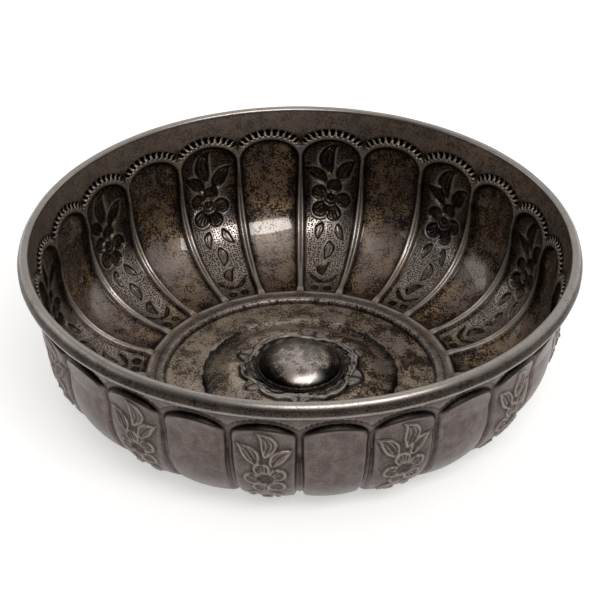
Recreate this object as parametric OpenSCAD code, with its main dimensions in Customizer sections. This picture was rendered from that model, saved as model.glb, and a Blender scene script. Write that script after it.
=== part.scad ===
// Bathing bowl with lobed wall, rolled rim and domed middle. Millimetres, +Z up.
// Origin: centre of the flat underside that the bowl rests on.

/* [Bowl] */
// Greatest radius, at the lower edge of the rim bead
rim_r = 95; // [82:0.5:110]
// Height from the flat underside to the top of the rim
bowl_h = 56; // [50:0.5:64]
// Radius at which the wall leaves its flat foot
foot_r = 51; // [46:0.5:54]
// Height at which the round of the wall ends and the straight flare starts
waist_h = 34.5; // [30:0.5:38]
// How far the plain wall at that height lies inside the greatest radius
waist_in = 8.1; // [6.5:0.1:10]
// Fullness of the round, 2 is an ellipse
fullness = 2.25; // [1.9:0.05:2.6]
// Thickness of the wall sheet
sheet_t = 1; // [0.8:0.1:1.4]

/* [Lobes] */
// Number of lobes round the wall
lobe_n = 24; // [18:2:30]
// How far the middle of a panel stands out of the plain band
lobe_depth = 1.3; // [0.9:0.1:1.8]
// Share of that depth that is crown across the panel
crown_share = 0.4; // [0.2:0.05:0.6]
// How far ribs and arch fillets stand into the bowl
rib_depth = 0.7; // [0.4:0.1:1]
// Width of a rib at the top
rib_w = 2; // [1.6:0.1:3]
// Width of the slope between rib and panel
slope_w = 1.5; // [1.2:0.1:2.4]
// Depth of the arch crowns below the top of the rim
arch_drop = 11; // [9.5:0.1:13]
// Rise of an arch
arch_rise = 7; // [5:0.1:8]
// Width of the raised fillet over an arch
fillet_w = 1.5; // [1:0.1:2]

/* [Rim] */
// Height of the bead
bead_h = 5.4; // [4.6:0.1:6.4]
// Width of the bead outside the wall's edge
bead_w = 2.85; // [2.4:0.05:3.4]
// Height of the bead's crown above the wall edge
crown_h = 1.3; // [1:0.1:1.8]
// Radius of the wire inside the bead
wire_r = 0.9; // [0.6:0.05:1]
// Clearance between bead, wire and wall
seam_gap = 0.05; // [0.02:0.01:0.1]

/* [Floor] */
// Thickness of the floor plate
plate_t = 1.2; // [1:0.1:1.6]
// Width of the wall's flat foot, which lies on the plate
foot_w = 2.4; // [1.8:0.1:3.2]
// Width of the bead over the floor seam
seam_w = 2.2; // [1.6:0.1:3]
// Height of that bead above the plate
seam_h = 2; // [1.4:0.1:2.6]
// Radius of the step down to the recess
step_r = 34; // [30:0.5:37]
// Height of the step
step_h = 1.1; // [0.6:0.1:1.6]
// Rise of the plate from the seam to the step
annulus_rise = 1.5; // [0.8:0.1:2]
// Radius of the raised middle
middle_r = 23.5; // [22:0.5:27]
// Height of the raised middle's top
middle_h = 5.4; // [4.6:0.1:6.4]

/* [Middle] */
// Radius of the boss at its foot
boss_r = 13.8; // [12:0.1:14.5]
// Height of the boss above its flange
boss_h = 7; // [5:0.1:9]
// Thickness of the boss sheet
boss_t = 0.9; // [0.7:0.1:1.2]
// Width of the boss flange outside its foot
flange_w = 2; // [1.6:0.1:2.4]
// Width of the thin ring on the flange
ring_w = 1.3; // [0.9:0.1:1.5]
// Number of petals
petal_n = 5; // [4:1:8]
// Radius of the petals
petal_r = 20.4; // [19:0.1:21.5]
// How deep the petals are scalloped
scallop = 2.4; // [1.4:0.1:2.6]
// Radius of the leaf tips between the petals
tip_r = 22.6; // [21.8:0.1:23.2]
// Thickness of the leaf layer and of the petal layer
leaf_t = 0.8; // [0.6:0.1:1]

/* [Hidden] */
edge_h = bowl_h - crown_h;
waist_r = rim_r - waist_in;
arch_h = bowl_h - arch_drop;
flare = (waist_in - bead_w) / (edge_h - waist_h);
foot_in = foot_r - foot_w;
plate_r = foot_r - 0.2;
seam_r = foot_in - seam_w / 2;
flat_r = seam_r - seam_w / 2 - 1;
hole_r = boss_r - boss_t - 1.2;
mid_r = min(middle_r, step_r - 6.5);
rosette_in = boss_r + flange_w + seam_gap;
leaf_r = min(tip_r, mid_r - 0.4);
petals_r = min(petal_r, leaf_r - 1);
notch = min(scallop, petals_r - rosette_in - 1);
pitch = 2 * PI * waist_r / lobe_n;
rib_f = rib_w / 2 / pitch;
edge_f = rib_f + slope_w / pitch;
// Columns of one lobe as shares of its width, from the side of a rib
COLS = [rib_f, edge_f, 0.31, 0.5, 0.69, 1 - edge_f, 1 - rib_f];
// Rows between the foot and the top of a panel
round_rows = 11;

// Point of the plain outer wall: 0 to 1 foot, 1 to 2 round, 2 to 3 flare
function wall_point(w) =
    w < 1 ? [foot_in + (foot_r - foot_in) * w, plate_t] :
    w < 2 ? [foot_r + (waist_r - foot_r) * pow(sin(90 * (w - 1)), 2 / fullness),
             plate_t + (waist_h - plate_t) * (1 - pow(cos(90 * (w - 1)), 2 / fullness))] :
    [waist_r + flare * (w - 2) * (edge_h - waist_h), waist_h + (w - 2) * (edge_h - waist_h)];

// Radius of the plain outer wall at a height in the flare
function flare_r(z) = waist_r + flare * (z - waist_h);

// Place along the wall at a height in the flare
function flare_place(z) = 2 + (z - waist_h) / (edge_h - waist_h);

// Outward direction of the plain wall
function wall_normal(w) =
    w < 1.0001 ? [0, -1] :
    w > 2.9999 ? [1, 0] :
    let (a = wall_point(w - 0.01), b = wall_point(w + 0.01), t = b - a)
    [t.y, -t.x] / norm(t);

// Upper edge of a panel and of the fillet over it, by share of the lobe
function panel_top(f) =
    let (u = min(1, abs(f - 0.5) / (0.5 - rib_f)))
    arch_h - arch_rise * (1 - sqrt(1 - u * u));
function fillet_top(f) =
    let (u = abs(f - 0.5) / 0.56)
    arch_h + fillet_w - arch_rise * (1 - sqrt(1 - u * u));
function on_panel(f) = f > edge_f - 0.001 && f < 1 - edge_f + 0.001;
function fillet_foot(f) = on_panel(f) ? panel_top(f) : fillet_top(f) - fillet_w;

// Rows of one column: place along the wall and how far the sheet is pushed out
function panel_level(f) =
    let (u = (f - 0.5) / (0.5 - edge_f))
    lobe_depth * (1 - crown_share * u * u);
function level(f) = on_panel(f) ? panel_level(f) : -rib_depth;
function column(f) =
    let (first = 1.09, last = flare_place(fillet_foot(f) - slope_w * 0.8))
    concat(
        [[0, 0], [1, 0]],
        [for (k = [0 : round_rows])
            [first + (last - first) * k / round_rows, level(f) * (k == 0 ? 0.6 : 1)]],
        [[flare_place(fillet_foot(f)), -rib_depth],
         [flare_place(fillet_top(f)), -rib_depth],
         [flare_place(fillet_top(f) + 0.9), 0],
         [3, 0]]);

// Point of one side of the sheet, back = 0 outside and 1 inside
function sheet_point(row, ang, back) =
    let (p = wall_point(row[0]) + wall_normal(row[0]) * (row[1] - back * sheet_t))
    [p.x * cos(ang), p.x * sin(ang), p.y];

module bowl_wall() {
    cols = [for (i = [0 : lobe_n - 1]) for (f = COLS) [360 * (i + f - 0.5) / lobe_n, f]];
    n = len(cols);
    m = len(column(COLS[0]));
    points = [for (back = [0, 1]) for (c = cols) for (row = column(c[1])) sheet_point(row, c[0], back)];
    function at(back, c, k) = (back * n + c % n) * m + k;
    faces = concat(
        [for (c = [0 : n - 1]) for (k = [0 : m - 2]) [at(0, c, k), at(0, c, k + 1), at(0, c + 1, k + 1)]],
        [for (c = [0 : n - 1]) for (k = [0 : m - 2]) [at(0, c, k), at(0, c + 1, k + 1), at(0, c + 1, k)]],
        [for (c = [0 : n - 1]) for (k = [0 : m - 2]) [at(1, c, k), at(1, c + 1, k + 1), at(1, c, k + 1)]],
        [for (c = [0 : n - 1]) for (k = [0 : m - 2]) [at(1, c, k), at(1, c + 1, k), at(1, c + 1, k + 1)]],
        [for (c = [0 : n - 1]) [at(0, c, 0), at(0, c + 1, 0), at(1, c + 1, 0)]],
        [for (c = [0 : n - 1]) [at(0, c, 0), at(1, c + 1, 0), at(1, c, 0)]],
        [for (c = [0 : n - 1]) [at(0, c, m - 1), at(1, c + 1, m - 1), at(0, c + 1, m - 1)]],
        [for (c = [0 : n - 1]) [at(0, c, m - 1), at(1, c, m - 1), at(1, c + 1, m - 1)]]);
    color([0.52, 0.5, 0.46]) polyhedron(points = points, faces = faces, convexity = 6);
}

// Middle of the wire bore
wire_z = bowl_h - bead_h * 0.56;
wire_c = (flare_r(wire_z) + seam_gap + rim_r) / 2 - 0.1;
core_r = min(wire_r, bead_w / 2 - 0.4);

module rim_bead() {
    bead_z = bowl_h - bead_h;
    low = 1;
    inner = flare_r(edge_h) - sheet_t;
    top_r = inner + 1.2;
    color([0.6, 0.58, 0.54]) rotate_extrude($fn = 96) difference() {
        polygon(concat(
            [[flare_r(bead_z) + seam_gap, bead_z], [rim_r - low, bead_z]],
            [for (k = [1 : 4]) [rim_r - low + low * sin(22.5 * k), bead_z + low - low * cos(22.5 * k)]],
            [for (k = [1 : 8]) [top_r + (rim_r - top_r) * cos(11.25 * k),
                bead_z + low + (bead_h - low) * sin(11.25 * k)]],
            [for (k = [1 : 4]) [top_r - (top_r - inner) * sin(22.5 * k),
                edge_h + crown_h * cos(22.5 * k)]],
            [[flare_r(edge_h) + seam_gap, edge_h]]));
        translate([wire_c, wire_z]) circle(r = core_r + seam_gap, $fn = 32);
    }
}

module rim_wire() {
    color([0.35, 0.33, 0.32]) rotate_extrude($fn = 96)
        translate([wire_c, wire_z]) circle(r = core_r, $fn = 32);
}

// Top line of the floor plate from its edge to the finger hole
plate_top = [
    [plate_r, plate_t], [flat_r, plate_t], [step_r + 1.2, plate_t + annulus_rise],
    [step_r, plate_t + annulus_rise - 0.2], [step_r - 1.4, plate_t + annulus_rise - step_h],
    [step_r - 3.2, plate_t + annulus_rise - step_h + 0.1],
    [mid_r + 2, middle_h - 0.6], [mid_r, middle_h], [hole_r, middle_h]];

module floor_plate() {
    drop = [for (p = plate_top) [p.x, p.y - plate_t]];
    color([0.45, 0.43, 0.4]) rotate_extrude($fn = 96)
        polygon(concat(plate_top, [for (k = [len(drop) - 1 : -1 : 0]) drop[k]]));
}

module floor_bead() {
    color([0.58, 0.56, 0.52]) rotate_extrude($fn = 96)
        polygon([for (k = [0 : 10]) [seam_r + seam_w / 2 * cos(18 * k), plate_t + seam_h * sin(18 * k)]]);
}

// Outline of the petals and of the leaf tips between them
function petal_edge(a) = petals_r - notch * pow(abs(cos(petal_n * a / 2)), 4);
function leaf_edge(a) =
    petals_r - notch + (leaf_r - petals_r + notch) * pow(abs(cos(petal_n * a / 2)), 3);

module rosette() {
    color([0.5, 0.48, 0.44]) difference() {
        translate([0, 0, middle_h]) union() {
            linear_extrude(height = leaf_t)
                polygon([for (k = [0 : 5 : 355]) leaf_edge(k) * [cos(k), sin(k)]]);
            linear_extrude(height = 2 * leaf_t)
                polygon([for (k = [0 : 5 : 355]) petal_edge(k) * [cos(k), sin(k)]]);
        }
        translate([0, 0, middle_h - 1]) cylinder(r = rosette_in, h = 4 * leaf_t + 2, $fn = 96);
    }
}

// Height of the boss flange's top
flange_z = middle_h + boss_t;

module boss_ring() {
    mid = boss_r + seam_gap + ring_w / 2;
    color([0.62, 0.6, 0.56]) rotate_extrude($fn = 96)
        polygon([for (k = [0 : 8])
            [mid + ring_w / 2 * cos(22.5 * k), flange_z + ring_w * 0.8 * sin(22.5 * k)]]);
}

module boss() {
    inner_r = boss_r - boss_t;
    color([0.48, 0.46, 0.42]) rotate_extrude($fn = 96) polygon(concat(
        [[inner_r, middle_h], [boss_r + flange_w, middle_h], [boss_r + flange_w, flange_z]],
        [for (k = [0 : 9]) [boss_r * cos(10 * k), flange_z + boss_h * sin(10 * k)]],
        [[0, boss_h + flange_z - boss_t]],
        [for (k = [8 : -1 : 1]) [inner_r * cos(10 * k), flange_z + (boss_h - boss_t) * sin(10 * k)]]));
}

bowl_wall();
rim_bead();
rim_wire();
floor_plate();
floor_bead();
rosette();
boss_ring();
boss();
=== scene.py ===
import math
from functools import partial

import bpy
import numpy as np
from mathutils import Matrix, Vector


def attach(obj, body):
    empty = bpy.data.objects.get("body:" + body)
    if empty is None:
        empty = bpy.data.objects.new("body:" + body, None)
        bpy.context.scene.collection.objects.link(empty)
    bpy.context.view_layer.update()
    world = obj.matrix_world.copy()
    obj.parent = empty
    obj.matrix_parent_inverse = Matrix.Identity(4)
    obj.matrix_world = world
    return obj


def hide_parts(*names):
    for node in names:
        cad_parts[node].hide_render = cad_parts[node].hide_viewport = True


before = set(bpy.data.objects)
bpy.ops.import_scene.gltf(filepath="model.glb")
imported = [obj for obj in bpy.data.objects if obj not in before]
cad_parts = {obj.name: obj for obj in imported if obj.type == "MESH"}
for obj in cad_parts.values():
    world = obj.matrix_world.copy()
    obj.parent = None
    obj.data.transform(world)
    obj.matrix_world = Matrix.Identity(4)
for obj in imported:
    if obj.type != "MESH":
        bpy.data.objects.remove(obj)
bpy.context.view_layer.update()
bpy.ops.object.select_all(action="DESELECT")
mm = 0.001
weldGap = 0.002 * mm
fullTurn = 2 * math.pi
farAway = 99.0
print("frame loaded:", sorted(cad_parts))


# small helpers

def smoothStep(low, high, value):
    t = np.clip((value - low) / (high - low), 0, 1)
    return t * t * (3 - 2 * t)


def bump(value, middle, width):
    return np.exp(-((value - middle) / width) ** 2)


def between(low, high, share):
    return low + (high - low) * share


# Soft step from a strength, where it starts and where it is full
def zone(look, value):
    strength, start, full = look
    return strength * smoothStep(start, full, value)


# Soft line from a strength, its middle and its half width
def stripe(look, value):
    strength, middle, half = look
    return strength * bump(value, middle, half)


def readPoints(piece):
    points = np.empty(len(piece.data.vertices) * 3)
    piece.data.vertices.foreach_get("co", points)
    return points.reshape(-1, 3)


def movePoints(piece, points):
    piece.data.vertices.foreach_set("co", np.ascontiguousarray(points, np.float32).ravel())
    piece.data.update()


# Radius in mm, angle and height in mm of every point
def polar(points):
    x, y, z = points.T
    return np.hypot(x, y) / mm, np.arctan2(y, x), z / mm


# Layers that the finish reads, as one value for the piece or one for every point
def paint(piece, **layers):
    for layer, values in layers.items():
        attribute = piece.data.attributes.new(layer, "FLOAT", "POINT")
        everyPoint = np.broadcast_to(values, len(piece.data.vertices))
        attribute.data.foreach_set("value", np.ascontiguousarray(everyPoint, np.float32))


def paintPlaces(piece, layer, places):
    attribute = piece.data.attributes.new(layer, "FLOAT_VECTOR", "POINT")
    attribute.data.foreach_set("vector", np.ascontiguousarray(places, np.float32).ravel())


def closeShell(piece, capEnds=False):
    bpy.ops.object.mode_set(mode="EDIT")
    bpy.ops.mesh.select_all(action="SELECT")
    bpy.ops.mesh.remove_doubles(threshold=weldGap)
    if capEnds:
        bpy.ops.mesh.fill_holes(sides=0)
    bpy.ops.mesh.select_all(action="SELECT")
    bpy.ops.mesh.normals_make_consistent(inside=False)
    bpy.ops.object.mode_set(mode="OBJECT")


def finishPiece(piece, material, node, angle=50):
    bpy.ops.object.shade_smooth_by_angle(angle=math.radians(angle))
    piece.data.materials.clear()
    piece.data.materials.append(material)
    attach(piece, "root")
    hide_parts(node)
    piece.select_set(False)


# A closed section of the sheet, spun round the bowl's axis
def spinSection(name, section, steps):
    bpy.ops.object.select_all(action="DESELECT")
    bpy.ops.mesh.primitive_circle_add(vertices=len(section), radius=0.01)
    piece = bpy.context.object
    piece.name = name
    movePoints(piece, np.array([[r * mm, 0, z * mm] for r, z in section]))
    bpy.ops.object.mode_set(mode="EDIT")
    bpy.ops.mesh.select_all(action="SELECT")
    bpy.ops.mesh.spin(steps=steps, angle=fullTurn, center=(0, 0, 0), axis=(0, 0, 1))
    bpy.ops.object.mode_set(mode="OBJECT")
    closeShell(piece)
    return piece


# Points along an oval round its middle, from one angle to another in degrees
def ovalArc(middle, reach, first, last, count):
    return [(middle[0] + reach[0] * math.cos(q), middle[1] + reach[1] * math.sin(q))
            for q in np.radians(np.linspace(first, last, count))]


# Lengths along a line of points
def lineLengths(points):
    return np.concatenate([[0], np.cumsum(np.hypot(*np.diff(points, axis=0).T))])


# materials

def linear(hexColour):
    parts = [int(hexColour[i:i + 2], 16) / 255 for i in (1, 3, 5)]
    return [c / 12.92 if c < 0.04045 else ((c + 0.055) / 1.055) ** 2.4 for c in parts] + [1]


# A key of two sockets takes a pair of values
def addNode(tree, kind, inputs=None, **settings):
    node = tree.nodes.new("ShaderNode" + kind)
    for name, value in settings.items():
        setattr(node, name, value)
    for keys, values in (inputs or {}).items():
        for key, value in zip(keys, values) if isinstance(keys, tuple) else [(keys, values)]:
            if isinstance(value, bpy.types.NodeSocket):
                tree.links.new(value, node.inputs[key])
            else:
                node.inputs[key].default_value = value
    return node.outputs


plateLook = {
    # sheet, tarnish and bare metal
    "plate": "#8B7869", "plateDull": "#66564A", "agedPlate": "#987F61", "agedGrey": "#6E5F59",
    "outsidePlate": "#6C625F", "outsideDull": "#564C4A", "brown": "#1C1008", "black": "#060402",
    "bright": "#B2A9A1",
    # sizes of the patterns, mm
    "cloudsMm": 4, "spotsMm": 0.65, "grainMm": 0.45, "filmMm": 11, "dentsMm": 3.0, "dentDepth": 0.006,
    # how far each one shows
    "ageReach": 0.07, "crowding": 0.6, "speckRange": (0.815, 0.885), "speckAmount": (0.78, 0.92),
    "grainRange": (0.35, 0.7), "filmRange": (0.40, 0.60), "handledRange": (0.75, 1.25), "agedAmount": 0.8,
    "outsideCalm": 0.85, "dirtGrain": (0.75, 1.25), "rubGrain": (0.45, 1.15), "rubAmount": 0.75,
    "rough": 0.42, "roughAge": 0.04, "roughSpeck": 0.05, "roughDirt": 0.10, "roughGrain": 0.06,
    # film of wax and skin oil, thinner with age, grime and dullness
    "coat": 1.0, "coatRough": 0.05, "coatIor": 1.72, "oldCoat": 0.45, "grimyCoat": 0.25, "dullCoat": 0.15,
    "speckGrime": 0.6,
}
patterns = {
    "clouds": {"Detail": 4.0, "Roughness": 0.6, "Distortion": 0.4}, "spots": {"Detail": 3.0, "Roughness": 0.62},
    "grain": {"Detail": 2.0, "Roughness": 0.6}, "film": {"Detail": 3.0}, "dents": {"Detail": 2.0},
}
soft = {"interpolation_type": "SMOOTHSTEP"}
rgb = {"data_type": "RGBA"}


# Silver plate on copper, handled and polished for a century: mirror bright where hands rub it,
# brown speckled tarnish over the plain sheet, black in every hollow of the chasing. The tarnish layer also carries
# painted shade, and the rub layer painted highlights.
# MapRange sockets: 0 value, 1 and 2 from, 3 and 4 to. Mix sockets: 0 share, 6 and 7 colours.
def wornSilver(name, look):
    material = bpy.data.materials.new(name)
    material.use_nodes = True
    material.node_tree.nodes.clear()
    add = partial(addNode, material.node_tree)
    tint = {key: linear(value) for key, value in look.items() if isinstance(value, str)}
    place = add("TexCoord")["Object"]
    tarnish, rub, outside, age, dull = [add("Attribute", attribute_name=layer)["Fac"]
                                        for layer in ("tarnish", "rub", "outside", "age", "dull")]
    clouds, spots, grain, film, dents = [
        add("TexNoise", {"Vector": place, "Scale": 1 / (look[key + "Mm"] * mm), **settings})["Fac"]
        for key, settings in patterns.items()]

    # specks of tarnish that crowd into ragged stains where the sheet is oldest
    older = add("Math", {0: age, 1: look["ageReach"], 2: clouds}, operation="MULTIPLY_ADD")[0]
    crowd = add("Math", {0: older, 1: look["crowding"], 2: spots}, operation="MULTIPLY_ADD")[0]
    stained = add("MapRange", {0: crowd, (1, 2): look["speckRange"]}, **soft)[0]
    # outside, the sheet is evenly dull, with only a trace of the specks
    calm = add("MapRange", {0: outside, (3, 4): (1, 1 - look["outsideCalm"])})[0]
    speckled = add("Math", {0: stained, 1: calm}, operation="MULTIPLY")[0]
    deep = add("MapRange", {0: age, (3, 4): look["speckAmount"]})[0]
    brownShare = add("Math", {0: speckled, 1: deep}, operation="MULTIPLY")[0]
    # grime with painted shade, and rubbed metal with painted highlights, both broken up by the grain
    dirtGrain = add("MapRange", {0: grain, (3, 4): look["dirtGrain"]})[0]
    dirtAndShade = add("Math", {0: tarnish, 1: dirtGrain}, operation="MULTIPLY", use_clamp=True)[0]
    rubGrain = add("MapRange", {0: grain, (3, 4): [look["rubAmount"] * k for k in look["rubGrain"]]})[0]
    rubbed = add("Math", {0: rub, 1: rubGrain}, operation="MULTIPLY", use_clamp=True)[0]

    grainShare = add("MapRange", {0: grain, (1, 2): look["grainRange"]}, **soft)[0]
    sheet = add("Mix", {0: grainShare, 6: tint["plate"], 7: tint["plateDull"]}, **rgb)[2]
    filmShare = add("MapRange", {0: film, (1, 2): look["filmRange"]}, **soft)[0]
    veil = add("Mix", {0: filmShare, 6: tint["agedGrey"], 7: tint["agedPlate"]}, **rgb)[2]
    ageShare = add("Math", {0: age, 1: look["agedAmount"]}, operation="MULTIPLY", use_clamp=True)[0]
    aged = add("Mix", {0: ageShare, 6: sheet, 7: veil}, **rgb)[2]
    handled = add("Math", {0: clouds, 1: grain}, operation="ADD")[0]
    handled = add("MapRange", {0: handled, (1, 2): look["handledRange"]}, **soft)[0]
    satin = add("Mix", {0: handled, 6: tint["outsidePlate"], 7: tint["outsideDull"]}, **rgb)[2]
    colour = add("Mix", {0: outside, 6: aged, 7: satin}, **rgb)[2]
    for share, over in ((brownShare, "brown"), (dirtAndShade, "black"), (rubbed, "bright")):
        colour = add("Mix", {0: share, 6: colour, 7: tint[over]}, **rgb)[2]

    rough = add("MapRange", {0: age, (3, 4): (look["rough"], look["rough"] + look["roughAge"])})[0]
    for share, more in ((speckled, "roughSpeck"), (dirtAndShade, "roughDirt"), (grain, "roughGrain")):
        rough = add("Math", {0: share, 1: look[more], 2: rough}, operation="MULTIPLY_ADD")[0]
    height = add("Math", {0: dents, 1: look["dentDepth"]}, operation="MULTIPLY")[0]

    # the film is thin where the sheet is oldest, and grime in the hollows takes little of it
    grime = add("Math", {0: speckled, 1: look["speckGrime"]}, operation="MULTIPLY")[0]
    grime = add("Math", {0: dirtAndShade, 1: grime}, operation="MAXIMUM")[0]
    waxed = add("MapRange", {0: age, (3, 4): (look["coat"], look["coat"] * look["oldCoat"])})[0]
    for share, left in ((grime, "grimyCoat"), (dull, "dullCoat")):
        kept = add("MapRange", {0: share, (3, 4): (1, look[left])})[0]
        waxed = add("Math", {0: waxed, 1: kept}, operation="MULTIPLY")[0]

    if "pitSpacing" in look:
        shine = add("Attribute", attribute_name="shine")["Fac"]
        rough = add("Math", {0: shine, 1: look["toolShine"], 2: rough}, operation="MULTIPLY_ADD")[0]
        for mark, dark, depth, dry in ((punchedPits(add, look), "pitDark", "pitDepth", "pitDry"),
                                       (milledNotches(add, look), "notchDark", "notchDepth", "notchDry")):
            darker = add("Math", {0: mark, 1: look[dark]}, operation="MULTIPLY")[0]
            colour = add("Mix", {0: darker, 6: colour, 7: tint["black"]}, **rgb)[2]
            height = add("Math", {0: mark, 1: -look[depth], 2: height}, operation="MULTIPLY_ADD")[0]
            waxed = add("Math", {0: mark, 1: -look[dry] * look["coat"], 2: waxed}, operation="MULTIPLY_ADD",
                        use_clamp=True)[0]
    normal = add("Bump", {"Strength": 1.0, "Distance": mm, "Height": height})["Normal"]
    shader = add("BsdfPrincipled", {
        "Base Color": colour, "Metallic": 1.0, "Roughness": rough, "Normal": normal, "Coat Weight": waxed,
        "Coat Roughness": look["coatRough"], "Coat IOR": look["coatIor"], "Coat Normal": normal})["BSDF"]
    add("OutputMaterial", {"Surface": shader})
    return material


# Punched ground: round pits about a millimetre apart, set in the panel's own millimetres
def punchedPits(add, look):
    panel = add("Attribute", attribute_name="onPanel")["Vector"]
    ground = add("Attribute", attribute_name="ground")["Fac"]
    cells = add("TexVoronoi", {"Vector": panel, "Scale": 1 / look["pitSpacing"], "Randomness": look["pitRandom"]},
                voronoi_dimensions="2D")["Distance"]
    pit = add("MapRange", {0: cells, (1, 2): look["pitEdge"], (3, 4): (1, 0)}, **soft)[0]
    return add("Math", {0: pit, 1: ground}, operation="MULTIPLY")[0]


# Milled notches over the arches, from how many notches along, how far out and a mask
def milledNotches(add, look):
    low, high = look["notchFrom"], look["notchTo"]
    arch = add("SeparateXYZ", {0: add("Attribute", attribute_name="onArch")["Vector"]})
    apart = add("Math", {0: arch["X"]}, operation="FRACT")[0]
    apart = add("Math", {0: apart, 1: 0.5}, operation="SUBTRACT")[0]
    apart = add("Math", {0: apart}, operation="ABSOLUTE")[0]
    peg = add("MapRange", {0: arch["Y"], (1, 2): (low, high), (3, 4): look["pegHalf"]})[0]
    apart = add("Math", {0: apart, 1: peg}, operation="SUBTRACT")[0]
    cut = add("MapRange", {0: apart, (1, 2): look["notchSide"]}, **soft)[0]
    start = add("MapRange", {0: arch["Y"], (1, 2): (low - look["notchSoft"], low + look["notchSoft"])})[0]
    end = add("MapRange", {0: arch["Y"], (1, 2): (high, high + look["notchFade"]), (3, 4): (1, 0)})[0]
    for mask in (start, end, arch["Z"]):
        cut = add("Math", {0: cut, 1: mask}, operation="MULTIPLY")[0]
    return cut


# bright along its top where hands hold it, partly a painted highlight; brown below, painted shade
rimSilver = wornSilver("rubbed silver plate", {
    **plateLook, "plate": "#928A84", "plateDull": "#736A64", "bright": "#B9B3AD", "cloudsMm": 5,
    "speckRange": (0.86, 0.95), "agedAmount": 0.5, "rough": 0.27, "rubAmount": 0.9, "outsideCalm": 0.3,
    "coat": 0.0})
# pale and worn by water, with broad soft stains
floorSilver = wornSilver("mottled silver plate", {
    **plateLook, "plate": "#CDBDAC", "plateDull": "#9E8E7C", "brown": "#23170E", "cloudsMm": 6, "crowding": 1.0,
    "speckRange": (0.95, 1.15), "agedAmount": 0.4, "rough": 0.50, "coat": 0.4, "coatRough": 0.12, "coatIor": 1.5})
# bead, petals and ring, greyer than the floor
trimSilver = wornSilver("chased silver trim", {
    **plateLook, "plate": "#9C9087", "plateDull": "#776C64", "bright": "#C4BCB4", "agedAmount": 0.2,
    "rough": 0.45, "rubAmount": 0.9, "coat": 0.2, "coatIor": 1.5})
# the dome, polished by every hand that steadied the bowl
bossSilver = wornSilver("polished silver plate", {
    **plateLook, "plate": "#B0A49A", "plateDull": "#83776E", "bright": "#D2CAC3", "brown": "#2A2019",
    "cloudsMm": 5, "crowding": 1.2, "speckRange": (1.06, 1.22), "spotsMm": 0.7, "rough": 0.27, "agedAmount": 0.3,
    "coat": 0.4})
# the wire inside the rim
wireIron = wornSilver("plain iron wire", {**plateLook, "plate": "#4A4542", "plateDull": "#3A3532", "rough": 0.45})
print("materials made")


# wall: form and chasing

# mm, with places along the sheet by length from the foot; here and below, triples are for zone and stripe
wall = {
    "footIn": 48.6, "footR": 51.0, "footZ": 1.2, "waistR": 86.9, "waistZ": 34.5, "edgeR": 92.15, "edgeZ": 54.7,
    "fullness": 2.25, "sheet": 1.0, "lobes": 24, "lobeDepth": 1.3, "crown": 0.4, "slope": 1.4, "panelFoot": 1.8,
    "footSlope": 0.55, "archSpring": 59.2, "archRise": 7.25, "fillet": 1.5, "filletSoft": (1, -0.8, 0.05),
    "ribHalf": 0.85, "ribDepth": (0.7, 0.3, 4.5), "ribTaper": (0.6, 34, 60), "ribSpread": (1, 7, 2),
    "groove": (0.38, 0, 0.32), "grooveStart": (1, 8, 20), "grooveEnd": (1, 62, 50), "toothTurn": 9.4,
    "toothFrom": 1.15, "toothTo": 3.2, "toothSides": (1, 0.5, 1.8), "notch": (0.5, 0, 0.1),
    "post": (0.06, 0.08, -0.05), "postHalf": (0.25, 0.16), "backNotch": 0.3, "levelTop": 2.5,
    "edgePlain": (1, -1.0, -3.0), "tableGap": 0.15, "seed": 7, "panelApart": 40, "columns": 78,
    "innerRows": 228, "outerRows": 186,
}
# inside, a film of wax and skin oil keeps a mirror over the tarnish and the punched ground
wallLook = {
    **plateLook, "pitSpacing": 0.85, "pitDark": 0.92, "pitDepth": 0.22, "pitRandom": 0.6, "pitEdge": (0.18, 0.36),
    "pitDry": 0.8, "toolShine": -0.17, "notchFrom": wall["toothFrom"], "notchTo": wall["toothTo"],
    "notchSide": (-0.03, 0.05), "notchSoft": 0.15, "notchFade": 0.4, "pegHalf": (0.27, 0.10),
    "notchDark": 1.0, "notchDepth": 0.1, "notchDry": 1.0,
}
wallSilver = wornSilver("chased silver plate, waxed", wallLook)
# outside, the plate is bare and satin, and the punches show as faint dots
wallSatin = wornSilver("chased silver plate, satin", {
    **wallLook, "pitSpacing": 0.8, "pitDark": 0.3, "pitDepth": 0.06, "coat": 0.0, "rough": 0.32, "roughAge": 0.0,
    "bright": "#B8ACA1", "toolShine": 0.0})


# The plain outer sheet by its length from the foot: radius, height and outward direction
def wallCurve():
    a = np.linspace(0, math.pi / 2, 800)
    power = 2 / wall["fullness"]
    r = wall["footR"] + (wall["waistR"] - wall["footR"]) * np.sin(a) ** power
    z = wall["footZ"] + (wall["waistZ"] - wall["footZ"]) * (1 - np.abs(np.cos(a)) ** power)
    flat = np.linspace(wall["footIn"], wall["footR"], 30)[:-1]
    flare = np.linspace(0, 1, 200)[1:]
    r = np.concatenate([flat, r, wall["waistR"] + (wall["edgeR"] - wall["waistR"]) * flare])
    z = np.concatenate([np.full(len(flat), wall["footZ"]), z,
                        wall["waistZ"] + (wall["edgeZ"] - wall["waistZ"]) * flare])
    length = lineLengths(np.stack([r, z], 1))
    length -= length[len(flat)]
    even = np.linspace(length[0], length[-1], 3000)
    r, z = np.interp(even, length, r), np.interp(even, length, z)
    blur = np.ones(41) / 41
    nr, nz = [np.convolve(np.pad(n, len(blur) // 2, mode="edge"), blur, "valid")
              for n in (np.gradient(z), -np.gradient(r))]
    size = np.hypot(nr, nz)
    level = smoothStep(even[-1] - wall["levelTop"], even[-1], even)  # the edge lies flat under the bead
    return {"s": even, "r": r, "z": z, "nr": nr / size * (1 - level) + level, "nz": nz / size * (1 - level)}


curve = wallCurve()
sheetTop = curve["s"][-1]


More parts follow.
